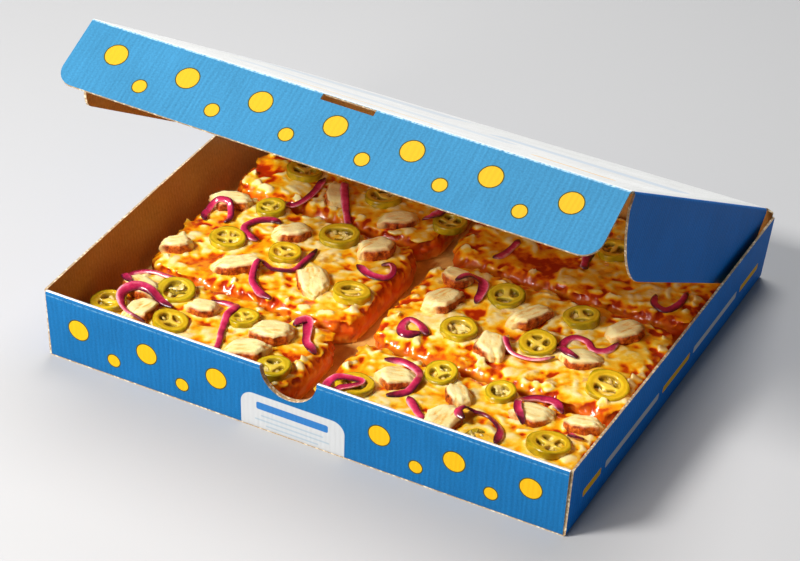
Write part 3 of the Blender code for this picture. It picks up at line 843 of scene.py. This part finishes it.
def slice_strands(lo, hi, toppings, corner, seed):
    """Lumps, shreds and puddles of melted cheese over a slice, and drips and lumps down its sides."""
    local = np.random.default_rng(seed)
    area = (hi.x - lo.x) * (hi.y - lo.y) / MM ** 2
    groups = []
    for share, length, radius, flatness, sink, cover in (
            (0.013, (2, 8), (2.4, 4.4), (0.36, 0.56), (-0.9, 0.4), -0.30),
            (0.015, (8, 18), (1.4, 2.2), (0.55, 0.80), (-0.7, 0.6), -0.20),
            (0.009, (0.5, 4), (1.3, 2.1), (0.7, 0.9), (-0.8, 0.8), -0.05),
            (0.005, (4, 16), (5.0, 9.0), (0.14, 0.21), (-0.5, 0.1), -0.45)):
        margin = (4.5 + 0.32 * length[1]) * MM
        centres = local.uniform((lo.x + margin, lo.y + margin, 0), (hi.x - margin, hi.y - margin, 0),
                                (int(area * share), 3))
        centres = centres[layered_noise(centres, 24 * MM, 3, seed=5) > cover]
        n = len(centres)
        inside = np.minimum(centres[:, :2] - lo[:2], np.array(hi[:2]) - centres[:, :2]).min(1)
        centres[:, 2] = (SLICE_TOP - 0.7 * MM + local.uniform(*sink, n) * MM
                         - 2.6 * MM * smooth_step(inside, 12 * MM, 4 * MM))
        groups.append(strands(centres, local.uniform(*length, n) * MM, local.uniform(*radius, n) * MM,
                              local.uniform(*flatness, n), local.uniform(0, math.pi, n),
                              local.uniform(-60, 60, n), local.uniform(-0.10, 0.10, n)))
    for low, high in toppings:
        middle, half = (low + high) / 2, (high - low) / 2
        if not (lo.x < middle.x < hi.x and lo.y < middle.y < hi.y):
            continue
        n = int(26 * (half.x + half.y) / (22 * MM))
        angle, beside = local.uniform(0, 2 * math.pi, n), local.uniform(-0.6, 1.6, n) * MM
        centres = np.stack([middle.x + (half.x + beside) * np.cos(angle),
                            middle.y + (half.y + beside) * np.sin(angle),
                            SLICE_TOP + local.uniform(-1.0, 0.4, n) * MM], 1)
        centres[:, :2] = np.clip(centres[:, :2], np.array(lo[:2]) + 4 * MM, np.array(hi[:2]) - 4 * MM)
        groups.append(strands(centres, local.uniform(0, 5, n) * MM, local.uniform(1.3, 2.5, n) * MM,
                              local.uniform(0.5, 0.8, n),
                              angle + math.pi / 2 + local.uniform(-0.6, 0.6, n), 0.0))
    outline, outward = slice_outline(lo, hi, 0.0, corner, steps=24)
    outline, outward = np.array(outline + outline[:1]), np.unwrap(np.array(outward + outward[:1]))
    length_so_far = np.concatenate([[0], np.cumsum(np.linalg.norm(np.diff(outline, axis=0), axis=1))])
    around = length_so_far[-1]
    for share, length, radius, level, stick, pitch in (
            (0.30, (1, 6), (2.6, 4.6), (-6.0, -2.8), (-6.5, -3.8), (-1.1, -0.3)),
            (0.18, (0, 5), (1.4, 2.4), (-5.0, -1.6), (-6.0, -3.0), (-0.8, 0.0)),
            (0.60, (0, 4), (2.2, 4.2), (-15.0, -6.5), (-5.2, -3.4), (-1.0, 1.0))):
        n = int(around / MM * share)
        place = local.uniform(0, around, n)
        centre = np.stack([np.interp(place, length_so_far, outline[:, k]) for k in (0, 1)], 1)
        angle = np.interp(place, length_so_far, outward)
        normal = np.stack([np.cos(angle), np.sin(angle)], 1)
        radii = local.uniform(*radius, n) * MM
        stick_out = local.uniform(*stick, n) * MM
        centres = np.concatenate([centre + normal * stick_out[:, None],
                                  (SLICE_TOP + local.uniform(*level, n) * MM)[:, None]], 1)
        groups.append(strands(centres, local.uniform(*length, n) * MM, radii, 0.8,
                              angle + local.uniform(-0.5, 0.5, n), 0.0, local.uniform(*pitch, n)))
    points = np.concatenate([p for p, _ in groups])
    starts = np.cumsum([0] + [len(p) for p, _ in groups])
    faces = np.concatenate([f + start for (_, f), start in zip(groups, starts)])
    low, high, ease = np.array(lo[:2]), np.array(hi[:2]), 3.2 * MM
    middle, half = (low + high) / 2, (high - low) / 2 - 0.5 * MM
    offset = points[:, :2] - middle
    past = np.maximum(np.abs(offset) - half + ease, 0)
    eased = np.where(past > 0, half - ease * np.exp(-past / ease), np.abs(offset))
    points[:, :2] = middle + np.sign(offset) * eased
    return points, faces


def build_slice(node, toppings, material, seed):
    """The CAD slice with melted strands fused to it, cut flat where it lies on the tray."""
    lo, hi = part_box(node)
    corner = 22 * MM
    mesh = add_to_mesh(slice_core(lo, hi, corner), *slice_strands(lo, hi, toppings, corner, seed))
    piece = remeshed(node.replace("slice", "pizza_slice"), mesh, 0.9 * MM, [material], smooth=10)
    mesh = piece.data
    co, normal = points_of(mesh), normals_of(mesh)
    fine, coarse = layered_noise(co, 2.4 * MM, 2, seed), layered_noise(co, 8 * MM, 2, seed + 3)
    co += normal * (0.12 * MM * fine + 0.45 * MM * coarse)[:, None]
    is_left, is_front, is_back = "left" in node, node.endswith("front"), node.endswith("back")
    low_room = np.array((0.1 if is_left else 0.4, 0.0 if is_front else 0.25)) * MM
    high_room = np.array((0.4 if is_left else 1.0, 1.8 if is_back else 0.25)) * MM
    co[:, :2] = np.clip(co[:, :2], lo[:2] - low_room, hi[:2] + high_room)
    set_points(mesh, co)
    cut = bmesh.new()
    cut.from_mesh(mesh)
    bmesh.ops.bisect_plane(cut, geom=cut.verts[:] + cut.edges[:] + cut.faces[:],
                           plane_co=(0, 0, SLICE_FOOT), plane_no=(0, 0, 1), clear_inner=True)
    bmesh.ops.holes_fill(cut, edges=[e for e in cut.edges if e.is_boundary], sides=0)
    into_mesh(cut, mesh)
    co = points_of(mesh)
    low, high = np.array(lo[:2]), np.array(hi[:2])
    out = (np.abs(co[:, :2] - (low + high) / 2) - (high - low) / 2).max(1)
    top = SLICE_TOP - 0.8 * MM
    above = smooth_step(co[:, 2] - top + 0.3 * MM * layered_noise(co, 5 * MM, 2, seed + 7),
                        -0.2 * MM, 1.5 * MM)
    ragged = co[:, 2] + 1.2 * MM * layered_noise(co * [1, 1, 0.4], 7 * MM, 3, seed + 5)
    set_attributes(mesh, thick=above, side=1 - smooth_step(ragged, top - 4.5 * MM, top - 1.0 * MM),
                   bulge=smooth_step(out, -3.2 * MM, -0.4 * MM),
                   level=np.clip((co[:, 2] - SLICE_FOOT) / (SLICE_TOP - SLICE_FOOT), 0, 1.2),
                   hollow=np.clip(0.5 + hollowness(mesh, 5) / (0.9 * MM), 0, 1))
    mesh.shade_smooth()
    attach(piece, "tray")
    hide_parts(node)
    return piece


# ---------------------------------------------------------------- toppings
def filled_outlines(outlines, low, high, round_over):
    """The flat area between nested outlines, with thickness from low to high and rounded edges."""
    curve = bpy.data.curves.new("outline", "CURVE")
    curve.dimensions, curve.fill_mode = "2D", "BOTH"
    curve.extrude, curve.bevel_depth, curve.bevel_resolution = (high - low) / 2 - round_over, round_over, 2
    for outline in outlines:
        spline = curve.splines.new("POLY")
        spline.points.add(len(outline) - 1)
        for point, (x, y) in zip(spline.points, outline):
            point.co = (x, y, 0, 1)
        spline.use_cyclic_u = True
    thing = link("outline", curve)
    mesh = evaluated(thing)
    bpy.data.objects.remove(thing)
    mesh.transform(Matrix.Translation((0, 0, (low + high) / 2)))
    return mesh


def ring_mesh(radius, chambers, seed):
    """A slice of pepper: skin and flesh with rounded seed chambers, each with seeds over a floor, a thin
    sheet that carries painted shade.
    """
    local, thickness = np.random.default_rng(100 + seed), PEPPER_THICKNESS
    wobble = local.uniform(-0.03, 0.03, 4)

    def reach(a):
        return radius * (0.95 + sum(w * math.cos((k + 2) * a + k) for k, w in enumerate(wobble)))

    outlines = [[(reach(a) * math.cos(a), reach(a) * math.sin(a)) for a in spread(0, 2 * math.pi, 44)[:-1]]]
    start, seeds = local.uniform(0, 2 * math.pi), []
    for k in range(chambers):
        middle = start + 2 * math.pi * (k + local.uniform(-0.08, 0.08)) / chambers
        near, far = local.uniform(0.10, 0.20) * radius, local.uniform(0.66, 0.74) * radius
        swell, outline = local.uniform(-0.08, 0.08, 2), []
        for a in spread(0, 2 * math.pi, 30)[:-1]:
            cos, sin = (math.copysign(abs(f(a)) ** 0.7, f(a)) for f in (math.cos, math.sin))
            if chambers == 1:
                out, turn = 0.68 * radius * (1 + swell[0] * math.cos(2 * a) + swell[1] * math.sin(3 * a)), a
            else:
                out = (near + far) / 2 + (far - near) / 2 * cos
                out *= 1 + swell[0] * math.cos(2 * a) + swell[1] * math.sin(a)
                turn = middle + sin * (math.pi / chambers - math.asin(min(0.9, 0.55 * MM / out)))
            outline.append((out * math.cos(turn), out * math.sin(turn)))
        outlines.append(outline)
        for _ in range(local.integers(1, 4) if chambers > 1 else 12):
            out = local.uniform(0.22, 0.55) * radius
            turn = middle + local.uniform(-0.6, 0.6) * (math.pi / chambers)
            seeds.append((out * math.cos(turn), out * math.sin(turn),
                          local.uniform(-0.14, 0.12 if chambers > 1 else 0.30) * thickness))
    mesh = filled_outlines(outlines, -thickness / 2, thickness / 2, 0.6 * MM)
    shape = bmesh.new()
    shape.from_mesh(mesh)
    # The floor is a thin sheet under the chambers, there to carry the painted shade seen down them.
    floor = filled_outlines([[(0.88 * x, 0.88 * y) for x, y in outlines[0]]], -thickness / 2 + 0.2 * MM,
                            -thickness / 2 + 0.24 * thickness, 0.3 * MM)
    shape.from_mesh(floor)
    for place in seeds:
        matrix = (Matrix.Translation(place) @ Matrix.Rotation(local.uniform(0, 3), 4, "Z")
                  @ Matrix.Rotation(local.uniform(-0.6, 0.6), 4, "X")
                  @ Matrix.Diagonal((1.3, 0.95, 0.55, 1)))
        bmesh.ops.create_icosphere(shape, subdivisions=2, radius=1.3 * MM, matrix=matrix)
    bmesh.ops.remove_doubles(shape, verts=shape.verts, dist=WELD)
    return into_mesh(shape, mesh), np.array(seeds)


def build_pepper(index, centre, radius, chambers, turn, tilt, material):
    shape, seeds = ring_mesh(radius, chambers, index)
    ring = remeshed(f"pepper_ring_{index:02d}", shape, 0.58 * MM, [material], smooth=2)
    mesh = ring.data
    co, normal = points_of(mesh), normals_of(mesh)
    to_seed = np.linalg.norm((co[:, None] - seeds[None]) / [1.3, 1.3, 1.0], axis=2).min(1)
    far = np.hypot(co[:, 0], co[:, 1]) / radius
    wrinkle = layered_noise(co + index, 4.0 * MM, 3, index) * 0.30 * MM
    sag = (0.9 * MM * smooth_step(far, 0.85, 0.15)
           * smooth_step(co[:, 2], -PEPPER_THICKNESS / 4, PEPPER_THICKNESS / 4))
    moved = co + normal * wrinkle[:, None]
    moved[:, 2] -= sag
    set_attributes(mesh, seed=smooth_step(to_seed, 1.35 * MM, 1.0 * MM), far=far,
                   cut=smooth_step(normal[:, 2], 0.2, 0.7),
                   pit=(smooth_step(co[:, 2], PEPPER_THICKNESS * 0.38, -PEPPER_THICKNESS * 0.10)
                        * (far < 0.84)),
                   piece=(index * 0.61803) % 1.0)
    matrix = np.array(Matrix.Translation(centre) @ Matrix.Rotation(turn, 4, "Z")
                      @ Matrix.Rotation(tilt[0], 4, "X") @ Matrix.Rotation(tilt[1], 4, "Y"))
    set_points(mesh, moved @ matrix[:3, :3].T + matrix[:3, 3])
    mesh.shade_smooth()
    return ring


def build_chicken(index, source, material, place=None):
    """A cut of grilled breast from the CAD solid: flat fibrous faces, torn ends, one browned side."""
    if place:
        middle = sum((v.co for v in source.vertices), Vector()) / len(source.vertices)
        source.transform(Matrix.Translation((place[0] * MM, place[1] * MM, middle.z))
                         @ Matrix.Rotation(place[2], 4, "Z") @ Matrix.Translation(-middle))
    piece = remeshed(f"chicken_piece_{index:02d}", source, 0.66 * MM, [material], smooth=2)
    local = np.random.default_rng(500 + index)
    mesh = piece.data
    co, normal = points_of(mesh), normals_of(mesh)
    centre = (co.min(0) + co.max(0)) / 2
    flat = co[:, :2] - centre[:2]
    sideways, ahead = np.linalg.eigh(np.cov(flat.T))[1].T
    if sideways[1] > 0:
        sideways = -sideways
    along, across = flat @ ahead, flat @ sideways
    half_long, half_wide = np.abs(along).max(), np.abs(across).max()
    base, tall = co[:, 2].min(), np.ptp(co[:, 2])
    level = (co[:, 2] - base) / tall
    side = 1 - smooth_step(np.abs(normal[:, 2]), 0.35, 0.8)
    fibres = layered_noise(np.stack([along * 0.35, across * 1.6, co[:, 2] * 0.8], 1) + index,
                           2.6 * MM, 3, index)
    rough = layered_noise(co + index, 2.2 * MM, 3, index + 20)
    lumps = layered_noise(co + 3 * index, 9 * MM, 2, index + 50)
    torn_end = local.choice([-1, 1])
    torn = smooth_step(along * torn_end / half_long, 0.35, 0.95)
    folds = np.abs(np.sin(across / (1.15 * MM) + 2.5 * layered_noise(co, 6 * MM, 1, index))) - 0.5
    torn_edge = layered_noise(co * [1, 1, 0.3] + 5 * index, 6.5 * MM, 3, index + 70)
    moved = co + normal * (fibres * 0.24 * MM + lumps * 0.45 * MM
                           + rough * (0.15 + 0.4 * side) * MM)[:, None]
    moved[:, :2] += (flat / np.linalg.norm(flat, axis=1)[:, None]
                     * (side * (2.0 * torn_edge + 0.5) * MM)[:, None])
    moved[:, :2] += (ahead * torn_end)[None] * (torn * side * folds * 1.3 * MM)[:, None]
    moved[:, 2] += level * torn * folds * 0.9 * MM
    facing = across / half_wide + 0.30 * layered_noise(co, 6 * MM, 2, index + 9)
    edge = np.maximum(np.abs(along) / half_long, np.abs(across) / half_wide)
    moved[:, 2] -= level * 2.0 * MM * smooth_step(edge, 0.45, 1.05) * (1 - smooth_step(facing, 0.1, 0.5))
    moved[:, 2] += level * 0.45 * MM * layered_noise(co + 9 * index, 7 * MM, 2, index + 33)
    slope, lean = local.uniform(-0.12, 0.02), local.uniform(-0.08, 0.08)
    moved[:, 2] += level * (-slope * (across + half_wide) - lean * along)
    moved[:, 2] -= 2.5 * MM
    set_points(mesh, moved)
    set_attributes(mesh, brown=smooth_step(facing, 0.25, 0.62) * np.clip(side * 1.2, 0, 1),
                   rim=smooth_step(facing, 0.72, 0.96) * (1 - side), edge=side,
                   fibre=np.clip(fibres * 0.6 + lumps * 0.25 + 0.45, 0, 1),
                   hollow=np.clip(0.5 + hollowness(mesh, 4) / (0.5 * MM), 0, 1))
    mesh.shade_smooth()
    return piece


EXTRA_PEPPERS = [(-123, 81, 23), (-15.5, 73, 22), (85, 98, 22)]
EXTRA_CHICKEN = [(-147, -35, 0.4), (-140.5, -85, 1.9), (-127.5, -106, 0.8), (-54.5, -110, 2.6),
                 (72, -110, 0.2), (16, 21, 0.9)]
ONION_ROUTES = [
    [(-105, 19), (-112, 21), (-120, 16), (-123, 5), (-115, -3), (-108, -4)],
    [(-72, 5), (-72, -9), (-74, -22), (-84, -27), (-92, -30), (-90, -42), (-80, -51), (-70, -54)],
    [(-43, 3), (-32, -3), (-22, -2), (-20, 6), (-25, 13), (-30, 10)],
    [(-144, -90), (-153, -84), (-155, -75), (-150, -68), (-140, -66), (-126, -66)],
    [(-114, -93), (-126, -91), (-138, -91), (-144, -98), (-140, -108), (-130, -116), (-118, -117)],
    [(-44, -73), (-40, -64), (-34, -74), (-29, -84), (-20, -90)],
    [(17, -75), (27, -71), (38, -74), (44, -84), (43, -96), (34, -105)],
    [(107, -115), (104, -102), (92, -94), (81, -96), (78, -104), (84, -108)],
    [(127, -69), (117, -62), (108, -64), (103, -74), (106, -85), (113, -92)],
    [(68, -17), (72, -28), (81, -32), (93, -31), (101, -24)],
    [(115, -24), (104, -19), (99, -9), (102, 1), (110, 2), (117, -4), (124, -1), (127, 8)],
    [(19, 12), (24, 20), (31, 24), (35, 16), (37, 3)],
    [(142, 78), (142, 66), (137, 56), (129, 58), (126, 67)],
    [(-94, 82), (-84, 63), (-68, 40)],
    [(-108, 81), (-106, 60), (-110, 42), (-120, 46)],
    [(-148, -1), (-151, 6), (-149, 15), (-141, 17), (-136, 9), (-136, 3)],
    [(-99, -74), (-89, -72), (-81, -75), (-81, -85), (-77, -99), (-72, -111), (-70, -121)],
    [(2, -121), (2, -113), (8, -107), (18, -104), (16, -113), (7, -122)],
    [(23, -41), (15, -47), (10, -40), (11, -32), (20, -34), (27, -40)],
    [(46, -101), (53, -107), (60, -114), (63, -118)],
    [(138, -87), (143, -88), (148, -87)],
    [(24, 54), (27, 61), (29, 72), (29, 80)],
    [(73, 91), (74, 82), (77, 71)],
    [(-32, 68), (-26, 72), (-23, 81)],
]
ONION_NODES = 12


def smooth_route(points, step):
    """A Catmull-Rom curve through the route's points, with evenly spaced points."""
    points = [np.array(p, float) * MM for p in points]
    padded = [2 * points[0] - points[1]] + points + [2 * points[-1] - points[-2]]
    fine = []
    for a, b, c, d in zip(padded, padded[1:], padded[2:], padded[3:]):
        for t in np.arange(0, 1, 0.05):
            fine.append(0.5 * (2 * b + (c - a) * t + (2 * a - 5 * b + 4 * c - d) * t ** 2
                               + (3 * b - a - 3 * c + d) * t ** 3))
    fine = np.array(fine + [points[-1]])
    length = np.concatenate([[0], np.cumsum(np.linalg.norm(np.diff(fine, axis=0), axis=1))])
    even = np.linspace(0, length[-1], max(8, int(length[-1] / step)))
    return np.stack([np.interp(even, length, fine[:, k]) for k in (0, 1)], 1)


def build_onion(index, route, ground, material):
    """A strip of red onion lying over whatever is under it, a curved ribbon with blunt ends."""
    local = np.random.default_rng(900 + index)
    line = smooth_route(route, 0.9 * MM)
    reach, heights = 1.2 * MM, []
    for x, y in line:
        hits = [ground.ray_cast(Vector((x + dx, y + dy, 0.1)), Vector((0, 0, -1)))[0]
                for dx, dy in ((0, 0), (reach, 0), (-reach, 0), (0, reach), (0, -reach))]
        heights.append(max([hit.z for hit in hits if hit] or [SLICE_TOP]))
    spanned = [max(heights[max(i - 3, 0):i + 4]) for i in range(len(heights))]
    heights = np.convolve(np.pad(spanned, 4, mode="edge"), np.ones(9) / 9, "valid")
    wide, thin = local.uniform(2.4, 3.2) * MM, local.uniform(0.7, 0.95) * MM
    sides, count, hand = 18, len(line), 1 if index % 3 else -1
    tangent = np.gradient(line, axis=0)
    tangent /= np.linalg.norm(tangent, axis=1)[:, None]
    normal = np.stack([-tangent[:, 1], tangent[:, 0]], 1)
    phase, swing = local.uniform(-0.3, 0.3), local.uniform(-0.5, 0.5)
    rings, values = [], []
    for i in range(count):
        t = i / (count - 1)
        taper = min(1.0, 0.35 + 3.2 * min(t, 1 - t) ** 0.7) * (0.92 + 0.12 * math.sin(7 * t + phase * 9))
        roll = phase + swing * math.sin(2.2 * t + phase)
        rings.append([])
        for a in spread(0, 2 * math.pi, sides)[:-1]:
            cos, sin = math.cos(a), math.sin(a)
            across = wide * taper * math.copysign(abs(cos) ** 0.6, cos)
            up = thin * (0.5 + 0.5 * taper) * math.copysign(abs(sin) ** 0.8, sin)
            up += 0.10 * MM * math.cos(3.2 * across / wide * math.pi) * (sin > 0.3)
            up -= 0.28 * across ** 2 / wide * hand
            x = across * math.cos(roll) - up * math.sin(roll)
            z = across * math.sin(roll) + up * math.cos(roll)
            rings[i].append((line[i, 0] + normal[i, 0] * x, line[i, 1] + normal[i, 1] * x,
                             heights[i] + z + thin * 0.75 + 0.45 * abs(math.sin(roll)) * wide))
            values.append((t, 0.5 + 0.5 * cos * hand))
    mesh = tube_mesh(rings)
    strip = link_mesh(f"onion_strip_{index:02d}", mesh, [material])
    values = np.array(values)
    ridge = layered_noise(np.pad(values * [0.01, 0.02], ((0, 0), (0, 1))), 2.2 * MM, 2, index)
    set_points(mesh, np.concatenate(rings) + normals_of(mesh) * (ridge * 0.12 * MM)[:, None])
    set_attributes(mesh, along=values[:, 0], outer=values[:, 1])
    mesh.shade_smooth()
    return strip


def build_box():
    # shaded_blue is the front's blue print recoloured for the walls and flaps that stand in shade: painted
    # shade, a shaded copy of one ink.
    blue, shaded_blue = (0.009, 0.124, 0.32), (0.001, 0.150, 0.54)
    kraft, greasy, edge = bare_board("kraft"), bare_board("greasy_kraft_and_light", 0.9), cut_edge()
    blue_plain = printed_board("shaded_blue_print", shaded_blue)
    white = printed_board("white_print", (0.80, 0.80, 0.78), lid_marks, 0.03)
    build_tray(printed_board("front_print", blue, front_marks),
               printed_board("shaded_side_print", shaded_blue, side_marks), blue_plain,
               printed_board("white_liner", (0.84, 0.84, 0.83), None, 0.02), kraft, greasy, edge)
    first, last = build_lid(white, blue_plain, kraft, edge)
    build_back_crease(white, blue_plain, kraft, edge, first)
    build_tuck_flap(printed_board("tuck_print", (0.034, 0.170, 0.315), tuck_marks), kraft, edge, last)


def build_pizza():
    names = {kind: sorted(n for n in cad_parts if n.startswith(kind))
             for kind in ("slice_", "pepper_", "chicken_")}
    toppings = [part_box(n) for n in names["chicken_"] + names["pepper_"]]
    cheese = cheese_material()
    slices = [build_slice(node, toppings, cheese, seed) for seed, node in enumerate(names["slice_"], 1)]

    green, rings = pepper_material(), []
    for index, node in enumerate(names["pepper_"], 1):
        lo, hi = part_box(node)
        centre = (lo + hi) / 2 - Vector((0, 0, 1.0 * MM))
        local = np.random.default_rng(40 + index)
        ring = build_pepper(index, centre, (hi.x - lo.x + hi.y - lo.y) / 4, (3, 2, 1, 3, 4)[index % 5],
                            local.uniform(0, 6.3), local.uniform(-0.13, 0.13, 2), green)
        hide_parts(node)
        rings.append(ring)
    for index, (x, y, size) in enumerate(EXTRA_PEPPERS, len(rings) + 1):
        rings.append(build_pepper(index, Vector((x * MM, y * MM, SLICE_TOP + 1.6 * MM)), size / 2 * MM,
                                  2 + index % 3, index, (0.05, -0.04), green))

    white_meat, meats, chicken = chicken_material(), [], names["chicken_"]
    for index, node in enumerate(chicken, 1):
        piece = build_chicken(index, cad_mesh(node), white_meat)
        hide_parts(node)
        meats.append(piece)
    for index, place in enumerate(EXTRA_CHICKEN, len(chicken) + 1):
        meats.append(build_chicken(index, cad_mesh(chicken[(5 * index) % len(chicken)]), white_meat, place))

    verts, faces = [], []
    for piece in slices + rings + meats:
        faces += [tuple(len(verts) + i for i in polygon.vertices) for polygon in piece.data.polygons]
        verts += points_of(piece.data).tolist()
    ground, purple, strips = BVHTree.FromPolygons(verts, faces), onion_material(), []
    for index, route in enumerate(ONION_ROUTES, 1):
        strip = build_onion(index, route, ground, purple)
        if index <= ONION_NODES:
            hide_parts(f"onion_{index:02d}")
        strips.append(strip)
    for things, slot in ((rings, "pepper_green"), (meats, "chicken_white"), (strips, "onion_purple")):
        for thing in things:
            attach(thing, "tray")


photo_camera()
studio()
build_box()
build_pizza()
